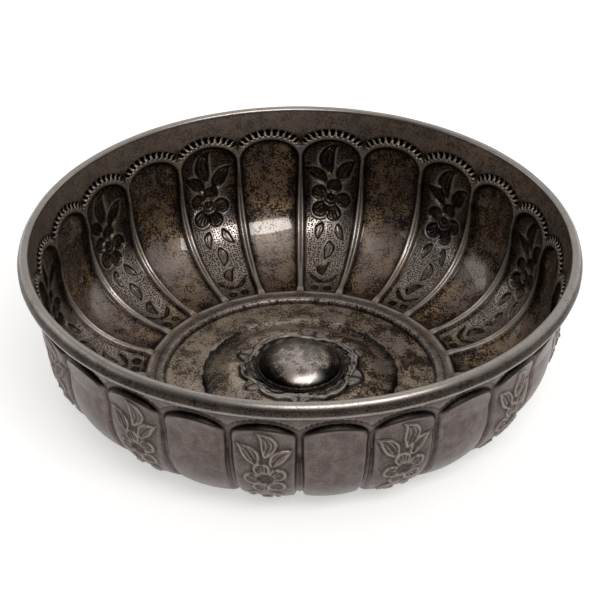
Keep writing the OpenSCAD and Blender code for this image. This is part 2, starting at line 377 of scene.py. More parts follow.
# A stroke of the chasing tool from base to tip, as circles along it: side, length, radius
def stroke(knots, count=22):
    knots = np.array(knots, float)
    length = lineLengths(knots[:, :2])
    even = np.linspace(0, length[-1], count)
    line = np.stack([np.interp(even, length, column) for column in knots.T], 1)
    line[1:-1] = 0.25 * line[:-2] + 0.5 * line[1:-1] + 0.25 * line[2:]
    return line


def strokeDistance(x, s, circles):
    best = np.full(x.shape, farAway)
    for cx, cy, radius in circles:
        best = np.minimum(best, np.hypot(x - cx, s - cy) - radius)
    return best


def lineDistance(x, s, points):
    best = np.full(x.shape, farAway)
    for (ax, ay), (bx, by) in zip(points[:-1], points[1:]):
        dx, dy = bx - ax, by - ay
        t = np.clip(((x - ax) * dx + (s - ay) * dy) / (dx ** 2 + dy ** 2 + 1e-9), 0, 1)
        best = np.minimum(best, np.hypot(x - ax - t * dx, s - ay - t * dy))
    return best


# Flower panel seen from inside, mm: side distance, length from the foot, radius
flower = {
    "leaves": [[(-0.6, 52.8, 0.9), (-1.5, 55.4, 2.4), (-2.0, 58.2, 3.0), (-1.2, 60.8, 2.3), (0.4, 62.6, 1.1),
                (2.2, 63.6, 0.1)],
               [(-2.8, 49.8, 1.6), (-4.2, 51.8, 2.5), (-5.9, 53.4, 2.1), (-7.8, 54.4, 1.1), (-9.4, 55.4, 0.1)],
               [(3.0, 50.6, 1.6), (4.0, 52.8, 2.8), (5.3, 55.0, 2.5), (7.0, 56.8, 1.3), (8.8, 57.9, 0.1)]],
    "drops": [[(-2.6, 33.4, 0.9), (-3.3, 31.8, 1.8), (-3.6, 29.9, 1.3), (-3.3, 27.6, 0.1)],
              [(3.2, 33.6, 0.8), (3.6, 31.8, 1.7), (4.4, 30.0, 1.3), (5.9, 28.2, 0.1)],
              [(0.3, 26.8, 1.0), (0.7, 24.8, 2.1), (0.5, 22.6, 1.5), (-0.4, 20.0, 0.1)],
              [(-0.4, 13.6, 0.8), (-0.8, 15.6, 1.9), (0.4, 17.6, 1.3), (2.4, 18.8, 0.1)]],
    "tendrils": [[(0.0, 9.6, 0.4), (-1.8, 10.2, 0.9), (-3.6, 11.8, 0.8), (-5.0, 13.8, 0.1)],
                 [(0.2, 9.6, 0.4), (2.0, 10.3, 0.9), (3.6, 11.8, 0.8), (4.8, 13.4, 0.1)]],
    "petals": [(-3.9, 2.3), (1.2, 4.7), (4.4, -0.4), (1.5, -5.0), (-3.5, -3.7)], "heart": (-0.3, 42.8),
    "rings": [(-2.3, 6.4), (2.2, 6.6)], "ringLine": (0.3, 1.1, 0.4), "ringReach": 1.4,
    "petalR": 2.95, "petalFoot": 0.62, "petalFootR": 1.9, "petalFan": (0.2, 0, -0.2), "fanFrom": 3.2,
    "fanPast": 1.4, "heartRing": 2.6, "heartEdge": 0.35, "heartH": 0.42, "heartLine": (0.5, 2.6, 0.36),
    "budUp": 0.55, "budMarks": [(0.42, 1.7, 0.34), (0.336, 0, 0.6)], "leafVeins": (0.32, -0.3), "vein": 0.3,
    "veinHalf": 0.3, "veinEnd": (1, -0.15, -0.55), "petalVein": 0.8, "depth": 0.8, "thin": 0.7,
    "side": (0.05, -0.85), "lip": (0.32, 0.35, 0.34), "shift": 0.3, "thinShift": 0.2, "petalShift": 0.25,
    "turn": 5,
    # from outside
    "backInset": 0.55, "backFlat": 0.8, "backSwell": 0.1, "backLine": (0.65, -0.05, 0.38), "backHeart": -0.7,
    # soot and bare ground, by distance from the nearest shape
    "sunk": (1, 0.1, -0.5), "bare": (1, 0.35, 0.8), "sootAndShade": 0.5, "highSoot": (0.35, 30, 40), "ridgeClean": 0.55,
    "sootLines": [(1, -0.3, 0.4)], "backSootLines": [(1, 0.85, 0.3), (1, -0.95, 0.35)],
}


# One flower panel: depth of the chasing, its bare ground, its dark lines and its sunk shapes
def flowerRelief(x, s, back, dice):
    push, ridge, near = np.zeros_like(x), np.zeros_like(x), np.full(x.shape, farAway)

    def chase(circles, depth, veins, strength=1.0):
        nonlocal push, near, ridge
        d = strokeDistance(x, s, circles) + (flower["backInset"] if back else 0)
        near = np.minimum(near, d)
        within = zone(flower["veinEnd"], d)
        if back:  # each shape shows as a raised line with a little swelling in it
            push = push * (1 - flower["backFlat"] * within) + flower["backSwell"] * within
            push = push + stripe(flower["backLine"], d)
        else:
            push = np.maximum(push, depth * smoothStep(*flower["side"], d)) - stripe(flower["lip"], d)
        for line in veins:
            vein = bump(lineDistance(x, s, line), 0, flower["veinHalf"]) * within
            push = push + (1 if back else -1) * flower["vein"] * strength * vein
            ridge = np.maximum(ridge, vein)

    def jog(knots, reach):
        shift = dice.uniform(-reach, reach, 2)
        turn = math.radians(dice.uniform(-flower["turn"], flower["turn"]))
        knots = np.array(knots, float)
        arm = knots[:, :2] - knots[0, :2]
        knots[:, 0] = knots[0, 0] + shift[0] + arm[:, 0] * math.cos(turn) - arm[:, 1] * math.sin(turn)
        knots[:, 1] = knots[0, 1] + shift[1] + arm[:, 0] * math.sin(turn) + arm[:, 1] * math.cos(turn)
        return knots

    for knots in flower["leaves"] + flower["drops"]:
        circles = stroke(jog(knots, flower["shift"]))
        middle = circles[2:16]  # clear of both ends
        step = np.gradient(middle[:, :2], axis=0)
        side = np.stack([-step[:, 1], step[:, 0]], 1) / np.hypot(step[:, 0], step[:, 1])[:, None]
        veins = [middle[:, :2] + side * middle[:, 2:] * k for k in flower["leafVeins"]]
        chase(circles, flower["depth"], veins)
    for knots in flower["tendrils"]:
        chase(stroke(jog(knots, flower["thinShift"])), flower["depth"] * flower["thin"], [])
    hx, hy = np.array(flower["heart"]) + dice.uniform(-flower["petalShift"], flower["petalShift"], 2)
    for petal in flower["petals"]:
        px, py = np.array(petal) + dice.uniform(-flower["petalShift"], flower["petalShift"], 2)
        reach, a = math.hypot(px, py), math.atan2(py, px)
        foot = (hx + px * flower["petalFoot"], hy + py * flower["petalFoot"], flower["petalFootR"])
        fan = (flower["fanFrom"], reach + flower["fanPast"])
        veins = [np.array([(hx + math.cos(a + k) * q, hy + math.sin(a + k) * q) for q in fan])
                 for k in flower["petalFan"]]
        chase(stroke([foot, (hx + px, hy + py, flower["petalR"])], 8), flower["depth"], veins,
              1.0 if back else flower["petalVein"])

    heart = np.hypot(x - hx, s - hy)
    bud = np.hypot(x - hx, s - hy - flower["budUp"])
    near = np.minimum(near, heart - flower["heartRing"])
    inHeart = smoothStep(flower["heartRing"] + flower["heartEdge"], flower["heartRing"], heart)
    sign = flower["backHeart"] if back else 1
    push = push * (1 - inHeart) + sign * (inHeart * flower["heartH"] - stripe(flower["heartLine"], heart))
    push = push - sign * sum(stripe(mark, bud) for mark in flower["budMarks"])
    for cx, cy in flower["rings"]:
        d = np.hypot(x - cx, s - cy)
        push = push + stripe(flower["ringLine"], d)
        near = np.minimum(near, d - flower["ringReach"])

    sunk = zone(flower["sunk"], near)
    dark = sunk * (flower["sootAndShade"] + zone(flower["highSoot"], s))
    lines = sum(stripe(line, near) for line in flower["backSootLines" if back else "sootLines"])
    dark = np.maximum(dark, lines) * (1 - flower["ridgeClean"] * ridge ** 3)
    return {"push": push, "bare": zone(flower["bare"], near), "dark": dark, "sunk": sunk}


# Where soot and painted shade stay and where hands and cloth reach, by place along the sheet, distance into a
# panel or turn to the right of the bowl, which is darker
wear = {
    # hollows and ridges: mm at which they are full, and the most of each
    "hollow": (0.6, 0.8), "ridge": (0.35, 1), "backHollow": (0.6, 0.4), "backRidge": (0.3, 0.6),
    "backEdge": (0.85, 3.4, 1.6), "backTop": (0.35, 66, 70), "blurs": ((5, 5), (11, 9)),
    "backBlurs": ((3, 3), (6, 5)),
    # soot between the arches and beyond their pegs, painted shade under them, soot in flower panels and painted
    # shade along panel sides
    "cornerSide": (0.8, 2.0, 0.4), "cornerFrom": (1, 0.6, 1.8), "cornerTo": (1, 7.5, 4.0),
    "beyondFrom": (0.92, -0.3, 0.2), "beyondTo": (1, 4.5, 3.5),
    "shoulderRise": (2.1, 0, 1), "shoulderFrom": (1, -0.2, 0.2), "shoulderTo": (1, 0.4, -0.4),
    "flowerTop": (0.6, 38, 53), "flowerEdge": (1, 0.5, 1.5), "backFlower": 0.6,
    "plainSoot": 0.35, "plainRight": (0.25, 0, 0.5), "plainTop": (1, 50, 60),
    "sideIn": (0.85, 4.6, 0.8), "sideOut": (1, -0.5, 0.1), "sideLow": (0.8, 42, 24), "rubbedOff": 0.6,
    # rubbed places: ribs, foot, the bend on its cleanest side, the flared band, pegs and punched ground
    "highRib": (0.5, 40, 57), "ribEdge": (1, 1.5, 0.5), "foot": (0.2, 2.5, 0.5),
    "bend": (1, 24.5, 5.5), "bendEdge": (1, 1.5, 4.0), "bendRub": 0.1, "cleanSide": (0.4, 112, 45),
    "flare": (1, 66, 69), "flareRub": 0.24, "flareRight": 0.12, "peg": 0.3, "ground": 0.6,
    "highGround": (0.88, 33, 46), "edgeFrom": (1, -0.1, 0.35), "edgeTo": (1, 4, 2), "highEdge": (1, 30, 46),
    "darkKept": 0.85,
    # age: above the bend, along panel sides, in rings, at the foot, on the right and in stains
    "old": (1, 34, 37), "oldWave": (0.6, 0.5), "flareYoung": (0.65, 64, 69), "sideAge": (0.9, 5.5, 1.2),
    "sideAgeLow": (0.65, 38, 30), "ringWave": (0.8, 0.45),
    "ageRings": [(0.7, 38.6, 2.0), (-0.3, 45.5, 3.0), (-0.9, 32, 3.5)], "footAge": (0.6, 17, 7),
    "rightSide": (0.6, 0.2, 0.8), "rightLow": (1, 30, 22), "stains": (0.9, 0.25, 0.7), "stainsLow": (1, 33, 28),
    "groundYoung": 0.25, "dull": (1, 28, 24),
}


# How far the sheet is pushed out of its plain form on one lobe, with masks for its finish
def lobeRelief(x, s, halfPitch, isFlower, back, dice):
    share = halfPitch / (math.pi * wall["waistR"] / wall["lobes"])
    ribHalf = wall["ribHalf"] * share * (1 - zone(wall["ribTaper"], s)) * (1 + zone(wall["ribSpread"], s))
    slope = wall["slope"] * share
    # distance in from the edge of the panel, which is an arch at the top
    a, b = halfPitch - ribHalf, wall["archRise"]
    up = np.maximum(s - wall["archSpring"], 0)
    q = np.hypot(x / a, up / b) + 1e-9
    inside = (1 - q) * q / np.hypot(x / a ** 2, up / b ** 2).clip(1e-6)
    inside = np.where(up > 0, np.clip(inside, -20, 20), a - np.abs(x))
    within = np.minimum(inside, (s - wall["panelFoot"]) * wall["footSlope"])
    depth = wall["lobeDepth"] * (1 - wall["crown"] * np.clip(x / (a - slope), -1, 1) ** 2)
    panel = smoothStep(0, 1, within / slope)
    over = zone(wall["filletSoft"], inside + wall["fillet"])
    push = panel * depth - (1 - panel) * over * zone(wall["ribDepth"], s)
    # a fine groove along the middle of each rib, up to the spring of the arches
    aside = halfPitch - np.abs(x)
    push = push + stripe(wall["groove"], aside) * zone(wall["grooveStart"], s) * zone(wall["grooveEnd"], s)
    # milled notches over each arch, with tapered posts between them
    out = -inside
    low, high = wall["toothFrom"], wall["toothTo"]
    arch = smoothStep(0, 0.6, s - wall["archSpring"])
    turn = (np.degrees(np.arctan2(up / b, x / a)) - 90) / wall["toothTurn"]
    band = smoothStep(low - 0.25, low + 0.2, out) * smoothStep(high + 0.3, high - 0.3, out) * arch
    band = band * zone(wall["toothSides"], aside) * (wall["backNotch"] if back else 1)
    post = between(*wall["postHalf"], np.clip((out - low) / (high - low), 0, 1))
    tooth = np.abs(turn % 1 - 0.5) - post
    push = push + band * (zone(wall["notch"], tooth) - zone(wall["post"], tooth))

    if back:  # painted shade on the shoulder under each arch
        rise = zone(wear["shoulderRise"], up / b)
        sootAndShade = zone(wear["shoulderFrom"], inside) * zone(wear["shoulderTo"], inside - rise)
    else:  # soot in the corner between two arches, and a black line beyond the pegs
        corner = zone(wear["cornerSide"], aside) * zone(wear["cornerFrom"], out) * zone(wear["cornerTo"], out)
        beyond = zone(wear["beyondFrom"], out - high) * zone(wear["beyondTo"], out)
        sootAndShade = np.maximum(corner, beyond) * arch
    front = 0 if back else 1
    onArch = np.stack([turn, out, arch * smoothStep(0.3, 1.0, aside) * front], -1)
    ground, shine, dark = np.zeros_like(x), np.zeros_like(x), np.zeros_like(x)
    if isFlower:
        chased = flowerRelief(x, s, back, dice)
        push = push + chased["push"] * smoothStep(0.2, 0.9, within - 0.5 * slope)
        ground = chased["bare"] * smoothStep(0.5, 1.1, within - 0.7 * slope)
        shine = np.maximum(ground, chased["sunk"])
        dark = chased["dark"]
        sootAndShade = np.maximum(sootAndShade, dark * (wear["backFlower"] if back else 1))
        sootAndShade = np.maximum(sootAndShade, zone(wear["flowerTop"], s) * zone(wear["flowerEdge"], within) * front)
    return {"push": push, "ground": ground, "sootAndShade": sootAndShade, "within": within, "peg": band * front, "onArch": onArch,
            "shine": shine, "dark": dark}


def blurGrid(grid, rows, cols):
    for axis, reach in ((0, rows), (1, cols)):
        size = 2 * reach + 1
        pad = [(reach, reach) if k == axis else (0, 0) for k in (0, 1)]
        total = np.cumsum(np.pad(grid, pad, mode="reflect"), axis=axis)
        total = np.concatenate([np.zeros_like(np.take(total, [0], axis=axis)), total], axis=axis)
        count = total.shape[axis]
        ahead = np.take(total, range(size, count), axis=axis)
        behind = np.take(total, range(count - size), axis=axis)
        grid = (ahead - behind) / size
    return grid


# Rows closer together where the arches and notches are
def rowPlaces(count):
    s = np.linspace(curve["s"][0], sheetTop, 4000)
    weight = 1 + 0.7 * smoothStep(55, 58, s) * smoothStep(73, 71, s) - 0.4 * smoothStep(2, -1, s)
    total = np.cumsum(weight)
    return np.interp(np.linspace(total[0], total[-1], count), total, s)


# Soot and rubbed metal from the hollows and ridges
def hollowWear(hollow, sootAndShade, ridge):
    return np.clip(hollow / sootAndShade[0], 0, sootAndShade[1]), np.clip(-hollow / ridge[0], 0, ridge[1])


def backWear(relief, hollow, s):
    sootAndShade, rub = hollowWear(hollow, wear["backHollow"], wear["backRidge"])
    sootAndShade = np.maximum(sootAndShade, zone(wear["backTop"], s))
    return np.maximum(sootAndShade, relief["sootAndShade"]), rub * (1 - zone(wear["backEdge"], relief["within"]))


def frontWear(relief, hollow, s, isFlower, centre, rightward):
    within, peg = relief["within"], relief["peg"]
    sootAndShade, rub = hollowWear(hollow, wear["hollow"], wear["ridge"])
    rub = rub * (1 - zone(wear["highRib"], s) * zone(wear["ribEdge"], within))
    rub = np.maximum(rub, zone(wear["foot"], s))
    bend = (wear["bendRub"] + stripe(wear["cleanSide"], centre)) * stripe(wear["bend"], s)
    rub = np.maximum(rub, bend * zone(wear["bendEdge"], within))
    rub = np.maximum(rub, (wear["flareRub"] - wear["flareRight"] * rightward) * zone(wear["flare"], s))
    ground = wear["ground"] * relief["ground"] * (1 - zone(wear["highGround"], s))
    rub = np.maximum(between(rub, wear["peg"], peg), ground)
    edge = zone(wear["edgeFrom"], within) * zone(wear["edgeTo"], within) * zone(wear["highEdge"], s)
    rub = rub * (1 - edge) * (1 - wear["darkKept"] * relief["dark"])
    sootAndShade = np.maximum(sootAndShade, relief["sootAndShade"])
    if not isFlower:
        top = wear["plainSoot"] + zone(wear["plainRight"], rightward)
        sootAndShade = np.maximum(sootAndShade, top * zone(wear["plainTop"], s) * smoothStep(0, 1, within))
    # painted shade along the steep sides of each panel, less of it low down
    side = zone(wear["sideIn"], within) * zone(wear["sideOut"], within) * (1 - zone(wear["sideLow"], s))
    return np.maximum(sootAndShade, side), rub


# Oldest half way up, above the bend that hands and water keep clean, and along the sides of each panel
def sheetAge(x, s, relief, centre, rightward, seed):
    uneven, wave = [s + height * np.sin(pace * x + seed) for height, pace in (wear["oldWave"], wear["ringWave"])]
    old = zone(wear["old"], uneven) * (1 - zone(wear["flareYoung"], s))
    side = zone(wear["sideAge"], relief["within"]) * (1 - zone(wear["sideAgeLow"], s))
    rings = sum(stripe(ring, wave) for ring in wear["ageRings"])
    foot = zone(wear["footAge"], wave)
    right = zone(wear["rightSide"], rightward) * zone(wear["rightLow"], wave)
    stains = np.sin(0.35 * x + 0.21 * wave + seed) * np.sin(0.19 * wave - 0.27 * x + 1.3 * seed + centre)
    stains = zone(wear["stains"], stains) * zone(wear["stainsLow"], wave)
    old = old + (relief["within"] > 0) * (side + rings + foot + right + stains)
    return old * (1 - wear["groundYoung"] * relief["ground"])


# One side of one lobe as a grid: its points and the layers that the finish reads
def lobeSide(rows, centre, isFlower, back, seed):
    s = rowPlaces(rows)
    share = np.linspace(-0.5, 0.5, wall["columns"] + 1)
    r, z, nr, nz = [np.interp(s, curve["s"], curve[key])[:, None] for key in ("r", "z", "nr", "nz")]
    halfPitch = math.pi * r / wall["lobes"] + 0 * share
    x = -share * 2 * halfPitch  # right as seen from inside
    s = s[:, None] + 0 * share
    relief = lobeRelief(x, s, halfPitch, isFlower, back, np.random.default_rng(seed))
    push = relief["push"] * zone(wall["edgePlain"], s - sheetTop)
    table = np.where(nz < -0.05, (z - wall["tableGap"]) / np.maximum(-nz, 0.05), farAway)
    push = np.minimum(push, table)
    near, far = wear["backBlurs" if back else "blurs"]
    hollow = push - 0.5 * blurGrid(push, *near) - 0.5 * blurGrid(push, *far)
    rightward = math.cos(math.radians(centre))
    if back:
        sootAndShade, rub = backWear(relief, -hollow, s)
    else:
        sootAndShade, rub = frontWear(relief, hollow, s, isFlower, centre, rightward)
    away = push - (0 if back else wall["sheet"])
    angle = np.radians(centre) + share * fullTurn / wall["lobes"]
    radius, height = r + nr * away, z + nz * away
    return {
        "points": np.stack([radius * np.cos(angle), radius * np.sin(angle), height], -1) * mm, "x": x, "s": s,
        "tarnish": sootAndShade * (1 - wear["rubbedOff"] * rub), "rub": rub, "dull": zone(wear["dull"], s),
        "age": sheetAge(x, s, relief, centre, rightward, seed), "outside": np.full(x.shape, int(back)),
        "ground": relief["ground"], "shine": relief["shine"], "onArch": relief["onArch"]}


# A flower lobe and the plain lobe beside it, inside and outside in one folded grid
def wallSector(index):
    pitch = 360 / wall["lobes"]
    seed = 100 * wall["seed"] + index
    lobes = []
    for lobe, isFlower in enumerate((True, False)):
        centre = pitch * (2 * index + lobe)
        front = lobeSide(wall["innerRows"], centre, isFlower, False, seed)
        back = lobeSide(wall["outerRows"], centre, isFlower, True, seed)
        lobes.append({key: np.concatenate([front[key], back[key][::-1], front[key][:1]]) for key in front})
    grid = {key: np.concatenate([lobes[0][key], lobes[1][key][:, 1:]], 1) for key in lobes[0]}
    ny, nx = grid["x"].shape[0] - 1, grid["x"].shape[1] - 1
    bpy.ops.object.select_all(action="DESELECT")
    bpy.ops.mesh.primitive_grid_add(x_subdivisions=nx, y_subdivisions=ny, size=1)
    piece = bpy.context.object
    piece.name = f"wall_sector_{index + 1:02d}"
    start = readPoints(piece)
    col = np.rint((start[:, 0] + 0.5) * nx).astype(int)
    row = np.rint((start[:, 1] + 0.5) * ny).astype(int)
    grid = {key: values[row, col] for key, values in grid.items()}
    movePoints(piece, grid["points"])
    paint(piece, **{key: grid[key] for key in ("tarnish", "rub", "ground", "outside", "age", "dull", "shine")})
    paintPlaces(piece, "onPanel", np.stack([grid["x"] + wall["panelApart"] * index, grid["s"], 0 * grid["s"]], 1))
    paintPlaces(piece, "onArch", grid["onArch"])
    piece.data.uv_layers[0].name = "OFBake"
    closeShell(piece, capEnds=True)
    finishPiece(piece, wallSilver, "bowl_wall", 60)
    piece.data.materials.append(wallSatin)
    isBack = np.empty(len(piece.data.vertices), np.float32)
    piece.data.attributes["outside"].data.foreach_get("value", isBack)
    faceSides = [int(isBack[list(face.vertices)].min()) for face in piece.data.polygons]
    piece.data.polygons.foreach_set("material_index", faceSides)
    return piece


for index in range(wall["lobes"] // 2):
    piece = wallSector(index)
print("wall sectors:", wall["lobes"] // 2, "of", len(piece.data.polygons), "faces")


# rim bead

rim = {
    "outerR": 95.0, "topZ": 56.0, "height": 5.4, "lowRound": 1.0, "crownIn": 1.2, "crownH": 1.3, "gap": 0.05,
    "steps": 360, "dent": 0.10, "ding": 0.06, "outFace": (1, 1.2, 2.4), "lowLine": (1, 0.7, 0.45),
    "sootAndShade": (0.74, -0.9, -2.2), "rub": (0.75, -1.9, -0.4), "lineBright": 0.5, "outside": 0.6, "age": 0.6,
}
rimFoot = rim["topZ"] - rim["height"]


def rimSection():
    lean = (wall["edgeR"] - wall["waistR"]) / (wall["edgeZ"] - wall["waistZ"])
    wallR = wall["waistR"] + lean * (rimFoot - wall["waistZ"])
    topR = wall["edgeR"] - wall["sheet"] + rim["crownIn"]
    low = rim["lowRound"]
    section = [(wallR + rim["gap"], rimFoot), (rim["outerR"] - low, rimFoot)]
    section += ovalArc((rim["outerR"] - low, rimFoot + low), (low, low), -75, 0, 6)
    section += ovalArc((topR, rimFoot + low), (rim["outerR"] - topR, rim["height"] - low), 7.5, 90, 12)
    section += ovalArc((topR, wall["edgeZ"]), (rim["crownIn"], rim["crownH"]), 105, 180, 6)
    return section + [(wall["edgeR"] + rim["gap"], wall["edgeZ"])]


rimBead = spinSection("rim_bead_worn", rimSection(), rim["steps"])
points = readPoints(rimBead)
r, a, z = polar(points)
# dents of long use, always inwards, away from the faces that hold the wall
dent = rim["dent"] * (0.5 + 0.5 * np.sin(9 * a + 1.1) * np.sin(4 * a + 0.4))
dent = dent + rim["ding"] * (0.5 + 0.5 * np.sin(31 * a + 2.0))
dent = dent * ((r > wall["edgeR"] + 0.4) | (z > wall["edgeZ"] + 0.3))
points[:, 0] -= dent * np.cos(a) * mm
points[:, 1] -= dent * np.sin(a) * mm
movePoints(rimBead, points)
# painted shade: brown on the outer face; a light line along its foot, and a bright top that is partly wear and
# partly a painted highlight
outFace = zone(rim["outFace"], r - wall["edgeR"])
lowLine = stripe(rim["lowLine"], z - rimFoot) * outFace
sootAndShade = zone(rim["sootAndShade"], z - rim["topZ"]) * outFace - lowLine
rub = zone(rim["rub"], z - rim["topZ"]) + rim["lineBright"] * lowLine
paint(rimBead, tarnish=np.clip(sootAndShade, 0, 1), rub=np.clip(rub, 0, 1), outside=rim["outside"] * outFace,
      age=rim["age"])
finishPiece(rimBead, rimSilver, "rim_bead")
print("rim bead made")


# floor

floorPlate = {
    "outerR": 50.8, "sheet": 1.2, "flatR": 45.4, "stepR": 34.0, "annulusRise": 1.5, "stepH": 1.1, "middleR": 23.5,
    "middleZ": 5.4, "holeR": 11.7, "steps": 300,
    # radius and height half way between the two faces
    "halfWay": [(11, 4.8), (23, 4.8), (30, 1.2), (35, 2.0), (46, 0.6), (52, 0.6)],
    "rings": [(0.5, 46.2, 0.3), (0.3, 34.8, 0.8)], "recessIn": (1.05, 28.5, 33.0), "recessOut": (1, 34.3, 33.6),
    "petalShadow": (1.3, 0.35, 0.5), "age": 0.3, "recessAge": (0.1, 36, 30), "rightAge": (1, -0.3, 1.0),
}


def roundedLine(corners, count):
    points = np.array(corners, float)
    for _ in range(3):  # corner cutting, which keeps the ends
        cut = [points[0]]
        for p, q in zip(points[:-1], points[1:]):
            cut += [p * 0.75 + q * 0.25, p * 0.25 + q * 0.75]
        points = np.array(cut + [points[-1]])
    length = lineLengths(points)
    even = np.linspace(0, length[-1], count)
    return np.stack([np.interp(even, length, column) for column in points.T], 1)


def floorSection():
    sheet, step = floorPlate["sheet"], floorPlate["stepR"]
    middle, middleZ = floorPlate["middleR"], floorPlate["middleZ"]
    high = sheet + floorPlate["annulusRise"]
    low = high - floorPlate["stepH"]
    top = roundedLine([
        (floorPlate["outerR"], sheet), (floorPlate["flatR"], sheet),
        (step + 2.5, high - 0.1), (step + 0.8, high), (step - 0.3, high - 0.1),
        (step - 0.9, low + 0.1), (step - 1.8, low), (step - 3.6, low + 0.1),
        (middle + 2, middleZ - 0.6), (middle, middleZ), (floorPlate["holeR"], middleZ)], 120)
    return [tuple(p) for p in top] + [(p[0], p[1] - sheet) for p in top[::-1]]


petals = {
    "foot": 5.4, "innerR": 15.85, "petalR": 20.9, "notch": 2.4, "tipR": 22.6, "layer": 0.8, "reach": 7.0,
    "blank": 1.4, "notchAngles": (-12, 83, 168, 222, 276), "trim": 0.1, "leafIn": 0.6, "steps": 420, "rings": 40,
    "lip": 1.9, "lipSwing": 0.7, "lipLumps": 0.6, "lipRise": (0.75, 1.30), "lump": 0.14, "notchDip": 0.5,
    "lowest": 0.05, "highest": 1.6, "crease": 0.85, "troughSoot": 0.6, "troughLumps": 0.5,
    "polish": 0.3, "polishSwing": 0.25, "polishLumps": 0.6, "leafPolish": 0.12, "edgePolish": 0.5,
    "age": 0.1, "petalAge": 0.5,
}


# Edge of the petals by angle: given one by one, so that none is as wide as the next
def petalLine(a):
    corners = np.array(petals["notchAngles"] + (petals["notchAngles"][0] + 360,), float)
    turn = (np.degrees(a) - corners[0]) % 360 + corners[0]
    gap = np.abs(np.cos(math.pi * np.interp(turn, corners, np.arange(len(corners)))))
    ripple = 0.24 * np.sin(17 * a + 0.6) * np.sin(5 * a) + 0.1 * np.sin(31 * a + 1.3)
    petal = petals["petalR"] - petals["trim"] - petals["notch"] * gap ** 3 + ripple
    leafR = petals["petalR"] - petals["notch"] - petals["leafIn"]
    return gap, petal, np.maximum(petal, between(leafR, petals["tipR"], gap ** 6))


floorDisc = spinSection("floor_plate_worn", floorSection(), floorPlate["steps"])
r, a, z = polar(readPoints(floorDisc))
isTop = z > np.interp(r, *zip(*floorPlate["halfWay"]))
uneven = 0.68 + 0.22 * np.cos(2 * a) + 0.1 * np.sin(7 * a + 2.1)
ragged = r + 0.3 * np.sin(19 * a) * np.sin(7 * a + 1) + 0.2 * np.sin(43 * a + 1)
# a dark line where the bead meets the floor, and painted shade on the step's crest that damps its highlight
sootAndShade = sum(stripe(ring, r) for ring in floorPlate["rings"])
# painted shadow of the petals on the floor round them
sootAndShade = sootAndShade + stripe(floorPlate["petalShadow"], r - petalLine(a)[2])
sootAndShade = sootAndShade + zone(floorPlate["recessIn"], ragged) * zone(floorPlate["recessOut"], ragged)
oldness = floorPlate["age"] + zone(floorPlate["recessAge"], r) + zone(floorPlate["rightAge"], np.cos(a))
paint(floorDisc, tarnish=np.clip(sootAndShade * uneven, 0, 1), rub=0, age=oldness, outside=np.where(isTop, 0, 1))
finishPiece(floorDisc, floorSilver, "floor_plate")

floorBead = {
    "innerR": 46.4, "topR": 47.7, "outerR": 50.3, "seamR": 48.5, "foot": 1.2, "top": 3.2, "lapZ": 2.15,
    "steps": 300, "innerSoot": (0.65, 47.3, 46.6), "lowSoot": (1, 2.7, 1.9), "lapSoot": (0.5, 49.5, 50.1),
    "rub": (0.35, 47.0, 47.5), "age": 0.4,
}


# rounded inside, and lapped over the seam with the wall outside
def beadSection():
    topR, top, foot, lap = floorBead["topR"], floorBead["top"], floorBead["foot"], floorBead["lapZ"]
    section = ovalArc((topR, foot), (topR - floorBead["innerR"], top - foot), 180, 90, 12)
    section += ovalArc((topR, lap), (floorBead["outerR"] - topR, top - lap), 80, 0, 9)
    return section + [(floorBead["seamR"], lap), (floorBead["seamR"], foot)]


beadRing = spinSection("floor_bead_worn", beadSection(), floorBead["steps"])
r, a, z = polar(readPoints(beadRing))
worn = 0.6 + 0.4 * np.sin(7 * a + 1.2) * np.sin(3 * a)
sootAndShade = zone(floorBead["innerSoot"], r) * zone(floorBead["lowSoot"], z) + zone(floorBead["lapSoot"], r)
rub = zone(floorBead["rub"], r) * worn
paint(beadRing, tarnish=sootAndShade, rub=rub, age=floorBead["age"], outside=0)
finishPiece(beadRing, trimSilver, "floor_bead")
print("floor made")


# middle: petals, ring and boss

# a plain washer, which the lines below shape into petals
def petalSection():
    radii = petals["innerR"] + np.linspace(0, petals["reach"], petals["rings"])
    return [(k, petals["foot"] + petals["blank"]) for k in radii] + [(k, petals["foot"]) for k in radii[::-1]]


rosette = spinSection("rosette_chased", petalSection(), petals["steps"])
r, a, z = polar(readPoints(rosette))
gap, petalEdge, edge = petalLine(a)
newR = between(petals["innerR"], edge, (r - petals["innerR"]) / petals["reach"])
inward = petalEdge - newR
lumps = 0.5 * np.sin(11 * a + 2.1 * newR) * np.sin(6 * a - 1.7 * newR + 0.8) + 0.3 * np.sin(23 * a + 3.3 * newR)
# each petal has a turned lip, a trough behind it and a pointed leaf under it
lipWidth = petals["lip"] + petals["lipSwing"] * np.sin(3 * a + 0.5) + petals["lipLumps"] * lumps
lip = smoothStep(-0.1, 0.3, inward) * smoothStep(lipWidth + 0.25, lipWidth - 0.15, inward)
onPetal = smoothStep(-0.1, 0.35, inward)
leafZ = petals["layer"] * smoothStep(-0.05, 0.6, edge - newR)
petalZ = petals["layer"] * between(*petals["lipRise"], lip)
petalZ = petalZ + petals["lump"] * lumps * smoothStep(0, 0.8, newR - petals["innerR"])
topZ = between(leafZ, petalZ, onPetal) - petals["notchDip"] * petals["layer"] * bump(gap, 1.0, 0.05) * onPetal
isTop = z > petals["foot"] + petals["blank"] / 2
newZ = petals["foot"] + isTop * np.clip(topZ, petals["lowest"], petals["highest"])
movePoints(rosette, np.stack([newR * np.cos(a), newR * np.sin(a), newZ], 1) * mm)
crease = bump(inward, 0.55 * lipWidth, 0.16) * smoothStep(-0.3, 0.5, np.sin(2 * a + 0.6))
